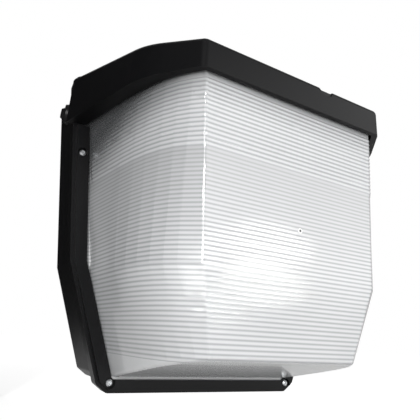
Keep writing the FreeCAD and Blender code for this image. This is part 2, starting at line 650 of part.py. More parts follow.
def lens_section(z, inset, back):
    """Plan corners of the lens bowl at one of its three levels, with its bends as soft turns."""
    rim = "frame_band + lens_fit"
    if z == "lens_top_z":
        foot = f"{half_at('lens_top_z')} - {rim}"
        bend, bend_depth, front, depth = "lens_bend_half", "lens_bend_depth", "lens_front_top", "lens_depth"
    elif z == "lens_kink_z":
        foot = f"{low_half_at('lens_kink_z')} - ({rim})"
        bend, bend_depth, front, depth = "lens_bend_half", "lens_bend_depth", "lens_front_kink", "lens_depth"
    else:
        foot = f"half_low - ({rim})"
        bend, bend_depth, front, depth = ("lens_bend_low", "lens_bend_low_depth", "lens_front_low",
                                          "lens_low_depth")
    start = (f"({foot} - {inset})", f"({back})")
    corner = (f"({bend} - {inset})", f"({bend_depth} - {inset} * 0.4)")
    end = (f"({front} - {inset} * 0.45)", f"({depth} - {inset})")
    turn_from = (f"({corner[0]} + ({start[0]} - {corner[0]}) * lens_turn_back / ({corner[1]} - {start[1]}))",
                 f"({corner[1]} - lens_turn_back)")
    turn_to = (f"({corner[0]} - lens_turn_in)",
               f"({corner[1]} + ({end[1]} - {corner[1]}) * lens_turn_in / ({corner[0]} - {end[0]}))")
    half = [start, turn_from]
    for step in range(1, TURN_STEPS):
        t = step / TURN_STEPS
        half.append(tuple(f"{(1 - t) ** 2} * {a} + {2 * t * (1 - t)} * {b} + {t ** 2} * {c}"
                          for a, b, c in zip(turn_from, corner, turn_to)))
    half += [turn_to, end]
    half = [(u, f"-({v})") for u, v in half]
    left = [(f"-({u})", v) for u, v in reversed(half)]
    return half + left


def make_bowl(name, inset, back):
    """The lens bowl's outer form, or with an inset its hollow."""
    body = new_body(name)
    for part, ends in (("upper", ("lens_top_z", "lens_kink_z")), ("lower", ("lens_kink_z", "low_z"))):
        levels = []
        for z in ends:
            lift = f"{z} - {inset}" if z == "lens_top_z" else z
            level = sketch_on(body, f"{name}_{part}_{z}", "XY_Plane", lift)
            polygon(level, lens_section(z, inset, back))
            levels.append(level)
        loft(body, f"{name}_{part}", levels)
    under = sketch_on(body, f"{name}_under", "YZ_Plane")
    far = "lens_depth + 30"
    flange = "seam_depth + flange_depth"
    rise = f"(under_front_z - under_back_z) / (under_front_depth - {flange})"
    start = f"under_back_z + ({back} - ({flange})) * {rise} + {inset}"
    end = f"under_back_z + ({far} - ({flange})) * {rise} + {inset}"
    polygon(under, [(f"-({back} - 1)", start), (f"-({far})", end), (f"-({far})", "low_z - 40"),
                    (f"-({back} - 1)", "low_z - 40")])
    pocket(body, f"{name}_underside", under, "4 * half_top", both=True)
    front_x = number("lens_front_top")

    def upright(edge, low, high):
        run = edge.Vertexes[-1].Point - edge.Vertexes[0].Point
        top = max(vertex.Point.z for vertex in edge.Vertexes)
        wide = max(abs(vertex.Point.x) for vertex in edge.Vertexes)
        return run.Length > 20 and abs(run.z) > 0.8 * run.Length and low < wide < high and top > number("low_z + 60")

    def underneath(edge):
        return max(vertex.Point.z for vertex in edge.Vertexes) < number("under_front_z + 8")
    if inset == "0":
        round_edges(body, f"{name}_corners", "lens_front_r", lambda e: upright(e, front_x - 15, front_x + 4))
        round_edges(body, f"{name}_edges", "lens_edge_r", underneath)
    return body


def make_lens():
    """Moulded bowl with a flat rim behind the frame."""
    flange = "seam_depth + flange_depth"
    outer = make_bowl("lens_bowl", "0", f"{flange} - 1")
    inner = make_bowl("lens_space", "lens_wall", f"{flange} - rim_thick - 1")
    rim = new_body("lens_rim")
    plate = sketch_on(rim, "lens_rim_outline", "XZ_Plane", f"{flange} - rim_thick")
    polygon(plate, outline("rim_top_z", "low_z + rim_inset", "-rim_inset"))
    pad(rim, "lens_rim_plate", plate, "rim_thick")
    moulding = cut("lens_moulding", fuse("lens_solid", outer, rim), inner)
    return node(cut("lens_notched", moulding, rim_notches("lens")), "lens")


def rim_notches(name):
    """Room for the four frame screws where they pass the edge of the lens rim and its seal."""
    notches = []
    for s, w in (("l", -1), ("r", 1)):
        for part, x, z in (("door", f"{w} * (half_low - door_screw_in)", "door_screw_z"),
                           ("frame", f"{w} * ({frame_screw_x()})", "frame_screw_z")):
            notches.append(rod(f"{name}_{part}_notch_{s}", "screw_r + rim_notch_gap",
                               "rim_thick + seal_thick + 2", x,
                               "seam_depth + flange_depth - rim_thick - seal_thick - 1", z))
    return fuse(f"{name}_notches", *notches)


def make_lens_seal():
    body = new_body("lens_seal_ring")
    flange = "seam_depth + flange_depth"
    path = sketch_on(body, "lens_seal_outline", "XZ_Plane", f"{flange} - rim_thick - seal_thick")
    polygon(path, outline("rim_top_z", "low_z + rim_inset", "-rim_inset"))
    polygon(path, outline("lens_top_z - 5", "low_z + ledge - 1", "-(frame_band + 5)"))
    pad(body, "lens_seal_pad", path, "seal_thick")
    return node(cut("lens_seal_notched", body, rim_notches("lens_seal")), "lens_seal")


def make_frame():
    """U-shaped bar that clamps the lens rim; its two ends stop below the visor."""
    body = new_body("frame_bar")
    top = "visor_low_z - frame_gap_z"
    base = sketch_on(body, "frame_outline", "XZ_Plane", "seam_depth + flange_depth")
    outer = outline(top, "low_z", "0")
    inner = outline(top, "low_z + frame_band_low", "-frame_band", "frame_inner_cut")
    right_out = [(f"{half_at(top)}", top)] + outer[2:5]
    right_in = [(f"{half_at(top)} - frame_band", top)] + inner[2:5]
    mirror = [(f"-({u})", v) for u, v in right_out]
    mirror_in = [(f"-({u})", v) for u, v in right_in]
    polygon(base, right_out + list(reversed(mirror)) + mirror_in + list(reversed(right_in)))
    pad(body, "frame_pad", base, "frame_thick")
    holes = []
    for s, w in (("l", -1), ("r", 1)):
        for part, x, z in (("door", f"{w} * (half_low - door_screw_in)", "door_screw_z"),
                           ("frame", f"{w} * ({frame_screw_x()})", "frame_screw_z")):
            holes.append(rod(f"frame_{part}_hole_{s}", "screw_r + 0.4", "frame_thick + 2", x,
                             "seam_depth + flange_depth - 1", z))
            holes.append(rod(f"frame_{part}_recess_{s}", "recess_r", "recess_deep + 2", x,
                             "seam_depth + flange_depth + frame_thick - recess_deep", z))
    return node(cut("frame_drilled", body, fuse("frame_holes", *holes)), "lens_frame")


def screw(name, long, x, z):
    """Pan head screw whose head sits in a recess of the frame."""
    under = "seam_depth + flange_depth + frame_thick - recess_deep"
    shank = rod(f"{name}_shank", "screw_r - 0.05", long, x, f"{under} - ({long})", z)
    head = rod(f"{name}_head", "screw_head_r", "screw_head * 0.6", x, under, z)
    dome = cone(f"{name}_dome", "screw_head_r", "screw_head_r * 0.6", "screw_head * 0.4", x,
                f"{under} + screw_head * 0.6", z)
    slot_a = block(f"{name}_slot_a", "4", "2", "0.9", x, f"{under} + screw_head - 1.5", z)
    slot_b = block(f"{name}_slot_b", "0.9", "2", "4", x, f"{under} + screw_head - 1.5", z)
    return cut(name, fuse(f"{name}_whole", shank, head, dome), slot_a, slot_b)


def make_screws():
    under = "seam_depth + flange_depth + frame_thick - recess_deep"
    upper = [screw(f"frame_screw_{s}", "13", f"{w} * ({frame_screw_x()})", "frame_screw_z")
             for s, w in (("l", -1), ("r", 1))]
    node(group("frame_screw_pair", *upper), "frame_screws")
    long = f"{under} - box_depth + door_screw_reach"
    node(screw("door_screw_l", long, "-(half_low - door_screw_in)", "door_screw_z"), "door_screw_left")
    node(screw("door_screw_r", long, "(half_low - door_screw_in)", "door_screw_z"), "door_screw_right")
    rings = []
    for s, w in (("l", -1), ("r", 1)):
        disc = rod(f"retainer_disc_{s}", "screw_r + 3", "1.2", f"{w} * (half_low - door_screw_in)", "seam_depth + 0.7",
                   "door_screw_z")
        hole = rod(f"retainer_hole_{s}", "screw_r - 0.05 + running_gap", "4", f"{w} * (half_low - door_screw_in)",
                   "seam_depth - 0.5", "door_screw_z")
        rings.append(cut(f"retainer_{s}", disc, hole))
    node(group("retainer_pair", *rings), "screw_retainers")


# ---------------------------------------------------------------- gear on its plate
PLATE_FRONT = "gear_plate_depth + gear_plate"


def make_gear_plate():
    """Steel plate on four posts that carries the electrical gear."""
    sheet_metal = block("gear_sheet", "2 * gear_plate_half", "gear_plate", "gear_plate_top - gear_plate_low", "0",
                        "gear_plate_depth", "(gear_plate_top + gear_plate_low) / 2")
    holes = [rod(f"plate_hole_{i}", "2.2", "6", x, "gear_plate_depth - 2", z)
             for i, (x, z) in enumerate(plate_post_spots())]
    holes.append(rod("plate_earth_hole", "earth_r + touch_gap", "6", "block_x + block_long / 2 + earth_out",
                     "gear_plate_depth - 2", "block_z"))
    node(cut("gear_sheet_drilled", sheet_metal, fuse("plate_holes", *holes)), "gear_plate")
    screws = []
    for i, (x, z) in enumerate(plate_post_spots()):
        shank = rod(f"plate_screw_shank_{i}", "1.5", "6", x, f"{PLATE_FRONT} - 6", z)
        head = rod(f"plate_screw_head_{i}", "3.6", "2.2", x, PLATE_FRONT, z)
        screws.append(fuse(f"plate_screw_{i}", shank, head))
    node(group("plate_screw_set", *screws), "gear_plate_screws")


def make_ballast():
    """Laminated core with two windows, and the taped coil that runs through them."""
    core = block("core_stack", "core_long", "core_deep", "core_tall", "core_x", f"{PLATE_FRONT} + 5.5", "core_z")
    window = block("core_window", "coil_long", "core_deep + 4", "coil_tall", "core_x", f"{PLATE_FRONT} + 3", "core_z")
    feet = [block(f"core_foot_{i}", "14", "5.5", "core_tall", f"core_x + {w} * (core_long / 2 - 7)", PLATE_FRONT,
                  "core_z") for i, w in enumerate((-1, 1))]
    post = block("core_post", "coil_long + 2", "core_deep", "12", "core_x", f"{PLATE_FRONT} + 5.5", "core_z")
    node(fuse("core_whole", cut("core_frame", core, window), post, *feet), "ballast_core")
    coil = block("coil_block", "coil_long - 1", "coil_deep", "coil_tall - 1", "core_x", f"{PLATE_FRONT} + 0.2",
                 "core_z")
    gap = block("coil_gap", "coil_long + 4", "core_deep", "12", "core_x", f"{PLATE_FRONT} + 5.5", "core_z")
    node(cut("coil_wound", coil, gap), "ballast_coil")


def make_capacitor():
    can = rod("can_body", "can_r", "can_long", "can_x - can_long / 2", f"{PLATE_FRONT} + can_r", "can_z", ALONG_X)
    tab_a = block("can_tab_a", "8", "6", "1", "can_x + can_long / 2 + 3", f"{PLATE_FRONT} + can_r - 8", "can_z")
    tab_b = block("can_tab_b", "8", "6", "1", "can_x + can_long / 2 + 3", f"{PLATE_FRONT} + can_r + 4", "can_z")
    node(fuse("can_whole", can, tab_a, tab_b), "capacitor")
    centre = f"{PLATE_FRONT} + can_r"
    over = rod("strap_over", "can_r + strap_thick", "strap_wide", "can_x - strap_wide / 2", centre, "can_z", ALONG_X)
    legs = block("strap_legs", "strap_wide", "can_r", "2 * (can_r + strap_thick)", "can_x", PLATE_FRONT, "can_z")
    feet = block("strap_feet", "strap_wide", "strap_thick", "2 * (can_r + strap_foot)", "can_x", PLATE_FRONT, "can_z")
    hollow = rod("strap_hollow", "can_r", "strap_wide + 4", "can_x - strap_wide / 2 - 2", centre, "can_z", ALONG_X)
    under = block("strap_under", "strap_wide + 4", "can_r + 2 * strap_thick", "2 * can_r", "can_x",
                  f"{PLATE_FRONT} - 2 * strap_thick", "can_z")
    strap = fuse("strap_whole", over, legs, feet)
    node(cut("strap_bent", strap, fuse("strap_inside", hollow, under)), "capacitor_strap")


def make_small_gear():
    ignitor = block("ignitor_case", "ignitor_wide", "ignitor_deep", "ignitor_tall", "ignitor_x", PLATE_FRONT,
                    "ignitor_z")
    node(ignitor, "ignitor")
    base = block("block_base", "block_long", "block_deep", "block_tall", "block_x", PLATE_FRONT, "block_z")
    wells = [rod(f"block_well_{i}", "3.2", "10", f"block_x + ({i} - 1) * block_long / 3",
                 f"{PLATE_FRONT} + block_deep - 5", "block_z") for i in range(3)]
    node(cut("block_moulded", base, fuse("block_wells", *wells)), "terminal_block")
    earth_x = "block_x + block_long / 2 + earth_out"
    shank = rod("earth_shank", "earth_r", "gear_plate + 1", earth_x, f"{PLATE_FRONT} - gear_plate", "block_z")
    head = rod("earth_top", "2.3 * earth_r", "earth_head", earth_x, PLATE_FRONT, "block_z")
    node(fuse("earth_whole", shank, head), "earth_screw")


def make_lead(name, points):
    """A lead of round section: straight runs joined by large tangent arcs."""
    spots = [FreeCAD.Vector(number(x), -number(d), number(z)) for x, d, z in points]
    edges = []
    start = spots[0]
    for before, here, after in zip(spots, spots[1:], spots[2:]):
        into = (here - before)
        out = (after - here)
        turn = into.getAngle(out)
        reach = 0.45 * min(into.Length, out.Length)
        arc_in = here - into.normalize() * reach
        arc_out = here + out.normalize() * reach
        middle = arc_middle(here, arc_in, arc_out, reach, turn)
        edges.append(Part.LineSegment(start, arc_in).toShape())
        edges.append(Part.Arc(arc_in, middle, arc_out).toShape())
        start = arc_out
    edges.append(Part.LineSegment(start, spots[-1]).toShape())
    path = Part.Wire(edges)
    section = Part.Wire([Part.Circle(spots[0], spots[1] - spots[0], number("lead_r")).toShape()])
    thing = doc.addObject("Part::Feature", f"{name}_tube")
    thing.Shape = path.makePipeShell([section], True, True)
    return node(thing, name)


def arc_middle(corner, arc_in, arc_out, reach, turn):
    """The middle of the arc that is tangent to both runs at a corner."""
    chord_mid = (arc_in + arc_out) * 0.5
    inward = (chord_mid - corner).normalize()
    radius = reach / math.tan(turn / 2)
    centre = corner + inward * (radius / math.cos(turn / 2))
    return centre - inward * radius


def make_leads():
    """The leads from the terminal block to the gear and on to the lamp socket."""
    front = f"{PLATE_FRONT} + block_deep"
    make_lead("black_lead", [
        ("block_x - block_long / 3", f"{front} - 4.5", "block_z"),
        ("block_x - block_long / 3", f"{front} + 8", "block_z"),
        ("block_x - block_long / 3 - 14", f"{front} + 13", "block_z + 3"),
        ("block_x - block_long / 3 - 30", f"{front} + 6", "block_z + 12"),
        ("core_x + 8", f"{PLATE_FRONT} + 24", "core_z - core_tall / 2 - 15"),
        ("core_x + 6", f"{PLATE_FRONT} + 22", "core_z - core_tall / 2 - 9"),
        ("core_x + 6", f"{PLATE_FRONT} + 22", "core_z - core_tall / 2 - touch_gap")])
    drop = "cap_x + socket_long - 8"
    make_lead("white_lead", [
        ("block_x", f"{front} - 4.5", "block_z"),
        ("block_x", f"{front} + 9", "block_z"),
        ("block_x + 12", f"{front} + 14", "block_z - 10"),
        ("block_x + 40", f"{front} + 14", "block_z - 30"),
        ("block_x + 82", f"{front} + 12", "lamp_z - 38"),
        (f"{drop} - 9", f"{front} + 20", "lamp_z - 41"),
        (drop, "panel_depth + 4", "lamp_z - 41"),
        (drop, "lamp_depth - 40", "lamp_z - 45"),
        (drop, "lamp_depth - 14", "lamp_z - 46"),
        (drop, "lamp_depth", "lamp_z - 36"),
        (drop, "lamp_depth", "lamp_z - socket_r + 0.1")])
    make_lead("green_lead", [
        ("block_x + block_long / 3", f"{front} - 4.5", "block_z"),
        ("block_x + block_long / 3", f"{front} + 6", "block_z"),
        ("block_x + block_long / 3 + 12", f"{front} + 8", "block_z + 4"),
        ("block_x + block_long / 2 + earth_out - 1", f"{front} + 2", "block_z + 2"),
        ("block_x + block_long / 2 + earth_out", f"{front} - 6", "block_z"),
        ("block_x + block_long / 2 + earth_out", f"{PLATE_FRONT} + earth_head + touch_gap", "block_z")])


# ---------------------------------------------------------------- reflector, socket and lamp
def make_reflector():
    """Bright sheet in front of the gear with a lip bent forward along its edges."""
    body = new_body("reflector_sheet")
    base = sketch_on(body, "reflector_outline", "XZ_Plane", "panel_depth")
    shape = ("panel_top_z", "panel_low_z", "-panel_inset")
    polygon(base, outline(*shape))
    pad(body, "reflector_block", base, "panel_thick + panel_lip")
    dish = sketch_on(body, "reflector_dish", "XZ_Plane", "panel_depth + panel_thick")
    polygon(dish, outline("panel_top_z - panel_thick", "panel_low_z + panel_thick",
                          "-(panel_inset + panel_thick)"))
    pocket(body, "reflector_pocket", dish, "panel_lip + 5")
    slot = block("lead_slot", "24", "8", "14", "cap_x + socket_long - 8", "panel_depth - 3", "lamp_z - 41")
    drilled = [rod(f"panel_hole_{i}", "2", "6", x, "panel_depth - 2", z)
               for i, (x, z) in enumerate(panel_post_spots())]
    node(cut("reflector_formed", body, slot, fuse("panel_holes", *drilled)), "reflector")
    screws = []
    for i, (x, z) in enumerate(panel_post_spots()):
        shank = rod(f"panel_screw_shank_{i}", "1.5", "8", x, "panel_depth + panel_thick - 8", z)
        head = cone(f"panel_screw_head_{i}", "3.8", "2.6", "2.2", x, "panel_depth + panel_thick", z)
        screws.append(fuse(f"panel_screw_{i}", shank, head))
    node(group("panel_screw_set", *screws), "reflector_screws")


def make_bracket():
    """Strip bent to an L that stands the lamp socket off the reflector."""
    end = "cap_x + socket_long"
    base = "panel_depth + panel_thick"
    foot = block("bracket_foot", "26", "bracket_thick", "bracket_wide", f"{end} - 13 + bracket_thick", base, "lamp_z")
    arm = block("bracket_arm", "bracket_thick", f"lamp_depth + 16 - ({base})", "bracket_wide",
                f"{end} + bracket_thick / 2", base, "lamp_z")
    return fuse("bracket_whole", foot, arm)


def make_socket():
    """Porcelain socket with a bore for the lamp's screw cap, on its bracket."""
    bracket = make_bracket()
    shell = rod("socket_shell", "socket_r", "socket_long", "cap_x", "lamp_depth", "lamp_z", ALONG_X)
    bore = rod("socket_bore", "cap_r + 0.6", "socket_long - socket_floor + 1", "cap_x - 1", "lamp_depth",
               "lamp_z", ALONG_X)
    hollow = cut("socket_moulded", shell, bore)
    node(bracket, "socket_bracket")
    node(hollow, "lamp_socket")


def make_lamp():
    """Tubular bulb with a rounded end, a neck and a brass screw cap, lying along X."""
    glass = doc.addObject("Part::Sphere", "bulb_end")
    place(glass, "bulb_end_x + bulb_r", "lamp_depth", "lamp_z")
    bind(glass, Radius="bulb_r")
    barrel = rod("bulb_barrel", "bulb_r", "bulb_neck_x - bulb_end_x - bulb_r - 18", "bulb_end_x + bulb_r",
                 "lamp_depth", "lamp_z", ALONG_X)
    neck = cone("bulb_neck", "bulb_r", "neck_r", "18", "bulb_neck_x - 18", "lamp_depth", "lamp_z", ALONG_X)
    stem = cone("bulb_stem", "neck_r", "cap_r", "cap_x - bulb_neck_x - 1", "bulb_neck_x", "lamp_depth", "lamp_z",
                ALONG_X)
    node(fuse("bulb_whole", glass, barrel, neck, stem), "lamp_bulb")
    cap = rod("cap_shell", "cap_r", "cap_long", "cap_x - 1", "lamp_depth", "lamp_z", ALONG_X)
    tip = cone("cap_tip", "cap_r", "5", "7", "cap_x + cap_long - 1", "lamp_depth", "lamp_z", ALONG_X)
    node(fuse("cap_whole", cap, tip), "lamp_cap")


# ---------------------------------------------------------------- build, test and write
make_back_box()
make_hinge_pins()
make_plugs()
make_door_seal()
make_front_housing()
make_port_blank()
make_lens()
make_lens_seal()
make_frame()
make_screws()
make_gear_plate()
make_ballast()
make_capacitor()
make_small_gear()
make_leads()
make_reflector()
make_socket()
make_lamp()
doc.recompute()

faults = []
for thing in doc.Objects:
    if "Invalid" in thing.State or "Error" in thing.State:
        faults.append(f"{thing.Name}: {thing.State}")
for thing in NODES:
    if thing.Shape.isNull() or not thing.Shape.isValid():
        faults.append(f"{thing.Label}: shape not valid")
if faults:
    raise SystemExit("\n".join(faults))

os.makedirs("parts", exist_ok=True)
for thing in NODES:
    thing.Shape.exportStep(f"parts/{thing.Label}.step")
    box = thing.Shape.BoundBox
    print(f"{thing.Label:20s} solids {len(thing.Shape.Solids)} volume {thing.Shape.Volume / 1000:9.1f} cm3 "
          f"x {box.XMin:7.1f} {box.XMax:7.1f} y {box.YMin:7.1f} {box.YMax:7.1f} z {box.ZMin:7.1f} {box.ZMax:7.1f}")
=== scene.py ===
import math

import bmesh
import bpy
from mathutils import Matrix, Vector


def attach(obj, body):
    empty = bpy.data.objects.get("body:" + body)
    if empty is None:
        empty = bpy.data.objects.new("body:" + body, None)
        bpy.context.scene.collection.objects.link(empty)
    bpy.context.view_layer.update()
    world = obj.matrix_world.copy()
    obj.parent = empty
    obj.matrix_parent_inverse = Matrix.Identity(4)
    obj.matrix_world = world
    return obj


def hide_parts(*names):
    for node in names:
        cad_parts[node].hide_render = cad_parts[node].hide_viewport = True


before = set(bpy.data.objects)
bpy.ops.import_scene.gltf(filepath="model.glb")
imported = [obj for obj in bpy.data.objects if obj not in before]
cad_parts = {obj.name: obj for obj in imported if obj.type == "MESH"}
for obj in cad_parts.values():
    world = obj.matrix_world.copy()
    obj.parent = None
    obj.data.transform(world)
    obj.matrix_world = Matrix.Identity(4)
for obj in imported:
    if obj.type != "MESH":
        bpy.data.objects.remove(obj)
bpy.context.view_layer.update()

MM = 0.001


# ---------------------------------------------------------------- back box
# Pressure die-cast aluminium pan that screws to the wall. It is shot-blasted and then
# powder coated satin black, so it is dark and even, with a fine orange peel.
def linear(code):
    """An sRGB hex colour as linear RGBA."""
    channels = [int(code[i:i + 2], 16) / 255 for i in (1, 3, 5)]
    return [c / 12.92 if c <= 0.04045 else ((c + 0.055) / 1.055) ** 2.4 for c in channels] + [1.0]


def add(tree, kind, sockets=None, **settings):
    """Add a node: plain values go to its sockets, other nodes' sockets are linked."""
    node = tree.nodes.new(kind)
    for name, value in settings.items():
        setattr(node, name, value)
    for name, value in (sockets or {}).items():
        if isinstance(value, bpy.types.NodeSocket):
            tree.links.new(value, node.inputs[name])
        else:
            node.inputs[name].default_value = value
    return node


def start_finish(name, colour, sockets):
    """A material with its shader's constant values set; returns material, tree and shader."""
    material = bpy.data.materials.new(name)
    material.use_nodes = True
    shader = material.node_tree.nodes["Principled BSDF"]
    shader.inputs["Base Color"].default_value = linear(colour)
    for socket, value in sockets.items():
        shader.inputs[socket].default_value = value
    return material, material.node_tree, shader


def grain(tree, shader, size_mm, height_mm, strength=1.0, stretch=(1, 1, 1)):
    """Noise of a real grain size raises the surface by a real height."""
    place = add(tree, "ShaderNodeTexCoord")
    scaled = add(tree, "ShaderNodeMapping", {"Vector": place.outputs["Object"], "Scale": stretch})
    noise = add(tree, "ShaderNodeTexNoise", {"Vector": scaled.outputs["Vector"], "Scale": 1 / (size_mm * MM),
                                             "Detail": 2.0})
    bump = add(tree, "ShaderNodeBump", {"Height": noise.outputs["Fac"], "Distance": height_mm * MM,
                                        "Strength": strength})
    tree.links.new(bump.outputs["Normal"], shader.inputs["Normal"])


def coat(material, *nodes):
    """Give CAD nodes one material each in place of their own."""
    for name in nodes:
        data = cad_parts[name].data
        data.materials.clear()
        data.materials.append(material)


# Orange peel is about 1 mm across; it is drawn 2.5 mm across so that it shows.
powder_coat, tree, shader = start_finish("powder_coated_casting", "#0d0d0e",
                                         {"Roughness": 0.3, "Specular IOR Level": 0.14})
grain(tree, shader, 2.5, 0.05, 0.6)
coat(powder_coat, "back_box")


# ---------------------------------------------------------------- hinge pins
# Two turned steel pins, driven through the box's ears and powder coated over with it.
coat(powder_coat, "hinge_pins")


# ---------------------------------------------------------------- screws
# Pan head screws with cross slots, zinc plated, in recesses of the frame.
# The bright plating is slightly milky.
zinc_plate, tree, shader = start_finish("zinc_plated_steel", "#b9bbbd", {"Metallic": 1.0, "Roughness": 0.32})
grain(tree, shader, 1.2, 0.02, 0.5)
coat(zinc_plate, "frame_screws", "door_screw_left", "door_screw_right", "gear_plate_screws",
     "reflector_screws")


# ---------------------------------------------------------------- conduit plugs
# Cast plugs screwed into the unused side entries and coated with the box.
coat(powder_coat, "conduit_plugs")


# ---------------------------------------------------------------- door seal
# Extruded EPDM rubber cord laid on the rim of the box: dull, almost black.
seal_rubber, tree, shader = start_finish("extruded_seal_rubber", "#0e0e0f",
                                         {"Roughness": 0.8, "Specular IOR Level": 0.3})
grain(tree, shader, 1.5, 0.02, 0.6)
coat(seal_rubber, "door_seal")


# ---------------------------------------------------------------- front housing
# Die-cast flange and sloping visor in one piece, powder coated as the box is.
coat(powder_coat, "front_housing")


# ---------------------------------------------------------------- port blank
# Moulded nylon blank pushed into the half-round control port in the visor.
black_nylon, tree, shader = start_finish("moulded_black_nylon", "#0b0b0c",
                                         {"Roughness": 0.5, "Specular IOR Level": 0.3})
grain(tree, shader, 0.8, 0.02, 0.5)
coat(black_nylon, "port_blank", "screw_retainers")


# ---------------------------------------------------------------- lens
# Injection-moulded polycarbonate bowl. The photograph is read as prism ribs outside on the
# upper band, and as ribs on the inside from the zone line down, under a smooth outside.
RIB_TOP, ZONE_LINE, RIB_LOW = 130.5, 60.0, -128.0    # heights in mm
OUTER_RIBS, INNER_RIBS = 15, 45
OUTER_HEIGHT, INNER_HEIGHT = 0.8, 0.5                # how far a rib stands off the wall in mm
CLEAR_OF_FRAME = -0.0862
BOWL_MIDDLE = Vector((0.0, -0.125, 0.0))
# The valley colour is painted shade in the ribs' valleys.
PLAIN, PAINTED_VALLEY_SHADE, UNDER_LINE, PAINTED_CORNER_SHADE = "#dfe0e1", "#b2b4b6", "#b4b5b6", "#3c3e40"
UNDER_LINE_END = -0.03                               # height where the darker zone has faded out
# The dark corner colour and these corner settings make painted shade in the lens's corner under the visor.
CORNER_LEAN, CORNER_FROM, CORNER_TO = 0.375, 0.005, 0.075
GATE_SPOT, GATE_REACH = (0.0033, -0.252, -0.0013), 0.0025


def welded_copy(name):
    """A CAD node's mesh with its loose triangles joined up."""
    bm = bmesh.new()
    bm.from_mesh(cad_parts[name].data)
    bmesh.ops.remove_doubles(bm, verts=bm.verts, dist=2e-6)
    return bm


def slice_across(bm, spot, way):
    """Cut edges into a mesh along a plane, without opening it."""
    everything = bm.verts[:] + bm.edges[:] + bm.faces[:]
    bmesh.ops.bisect_plane(bm, geom=everything, dist=1e-6, plane_co=spot, plane_no=way)


def show(bm, name, material, body, slot, *stands_for):
    """Turn a bmesh into a piece of the object."""
    mesh = bpy.data.meshes.new(name)
    bm.to_mesh(mesh)
    bm.free()
    mesh.materials.append(material)
    piece = bpy.data.objects.new(name, mesh)
    bpy.context.scene.collection.objects.link(piece)
    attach(piece, body)
    if stands_for:
        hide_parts(*stands_for)


def raise_ribs(bm, low, high, count, height, outside):
    """Slice the bowl at each rib's ridge and valleys and move the ridges off the wall."""
    pitch = (high - low) / count
    ridges = [(low + (i + 0.5) * pitch) * MM for i in range(count)]
    for i in range(2 * count + 1):
        slice_across(bm, (0, 0, (low + i * pitch / 2) * MM), (0, 0, 1))
    bm.normal_update()
    moves = []
    for vert in bm.verts:
        if vert.co.y > CLEAR_OF_FRAME or min(abs(vert.co.z - z) for z in ridges) > 2e-6:
            continue
        away = vert.co - BOWL_MIDDLE
        away.z = 0
        facing_out = vert.normal.x * away.x + vert.normal.y * away.y > 0
        if facing_out == outside:
            moves.append((vert, vert.normal.copy()))
    for vert, normal in moves:
        vert.co += normal * height * MM


bowl = welded_copy("lens")
slice_across(bowl, (0, CLEAR_OF_FRAME, 0), (0, 1, 0))
raise_ribs(bowl, ZONE_LINE, RIB_TOP, OUTER_RIBS, OUTER_HEIGHT, True)
raise_ribs(bowl, RIB_LOW, ZONE_LINE, INNER_RIBS, INNER_HEIGHT, False)


def rib_valley_shade_mask(tree, height, low, high, count):
    """Mask of the painted shade in the ribs' valleys: one where a rib's valley is, falling softly to zero
    towards its ridge.
    """
    pitch = (high - low) / count * MM
    above = add(tree, "ShaderNodeMath", {0: height, 1: low * MM}, operation="SUBTRACT")
    ribs = add(tree, "ShaderNodeMath", {0: above.outputs[0], 1: pitch}, operation="DIVIDE")
    from_valley = add(tree, "ShaderNodeMath", {0: ribs.outputs[0], 1: 0.5}, operation="PINGPONG")
    line = add(tree, "ShaderNodeMapRange", {"Value": from_valley.outputs[0], "From Max": 0.4, "To Min": 1.0,
                                            "To Max": 0.0}, interpolation_type="SMOOTHSTEP")
    over = add(tree, "ShaderNodeMath", {0: height, 1: low * MM}, operation="GREATER_THAN")
    under = add(tree, "ShaderNodeMath", {0: height, 1: high * MM}, operation="LESS_THAN")
    inside = add(tree, "ShaderNodeMath", {0: over.outputs[0], 1: under.outputs[0]}, operation="MULTIPLY")
    return add(tree, "ShaderNodeMath", {0: line.outputs["Result"], 1: inside.outputs[0]},
               operation="MULTIPLY").outputs[0]


# The bowl looks milky: part of the light goes through and the rest is scattered back.
# Each rib's valley is tinted darker as well, as painted shade, because the ribs alone show too faintly.
# The gloss of the mould is on the outside.
hazy_polycarbonate, tree, shader = start_finish(
    "moulded_polycarbonate", PLAIN,
    {"Roughness": 0.22, "IOR": 1.585, "Transmission Weight": 0.45, "Coat Weight": 0.5, "Coat Roughness": 0.06})
place = add(tree, "ShaderNodeTexCoord")
parts = add(tree, "ShaderNodeSeparateXYZ", {"Vector": place.outputs["Object"]})
height = parts.outputs["Z"]
valley_shade_mask = add(tree, "ShaderNodeMath", {0: rib_valley_shade_mask(tree, height, RIB_LOW, ZONE_LINE, INNER_RIBS),
                                     1: rib_valley_shade_mask(tree, height, ZONE_LINE, RIB_TOP, OUTER_RIBS)})
shade = add(tree, "ShaderNodeMix", {0: valley_shade_mask.outputs[0], 6: linear(PLAIN), 7: linear(PAINTED_VALLEY_SHADE)},
            data_type="RGBA")
# Below the zone line the photograph is a little darker, and less so lower down. It is a tint.
below = add(tree, "ShaderNodeMath", {0: height, 1: ZONE_LINE * MM}, operation="LESS_THAN")
fade = add(tree, "ShaderNodeMapRange", {"Value": height, "From Min": UNDER_LINE_END,
                                        "From Max": ZONE_LINE * MM, "To Min": 0.0, "To Max": 0.55})
held = add(tree, "ShaderNodeMath", {0: below.outputs[0], 1: fade.outputs["Result"]}, operation="MULTIPLY")
zoned = add(tree, "ShaderNodeMix", {0: held.outputs[0], 6: shade.outputs[2], 7: linear(UNDER_LINE)},
            data_type="RGBA")
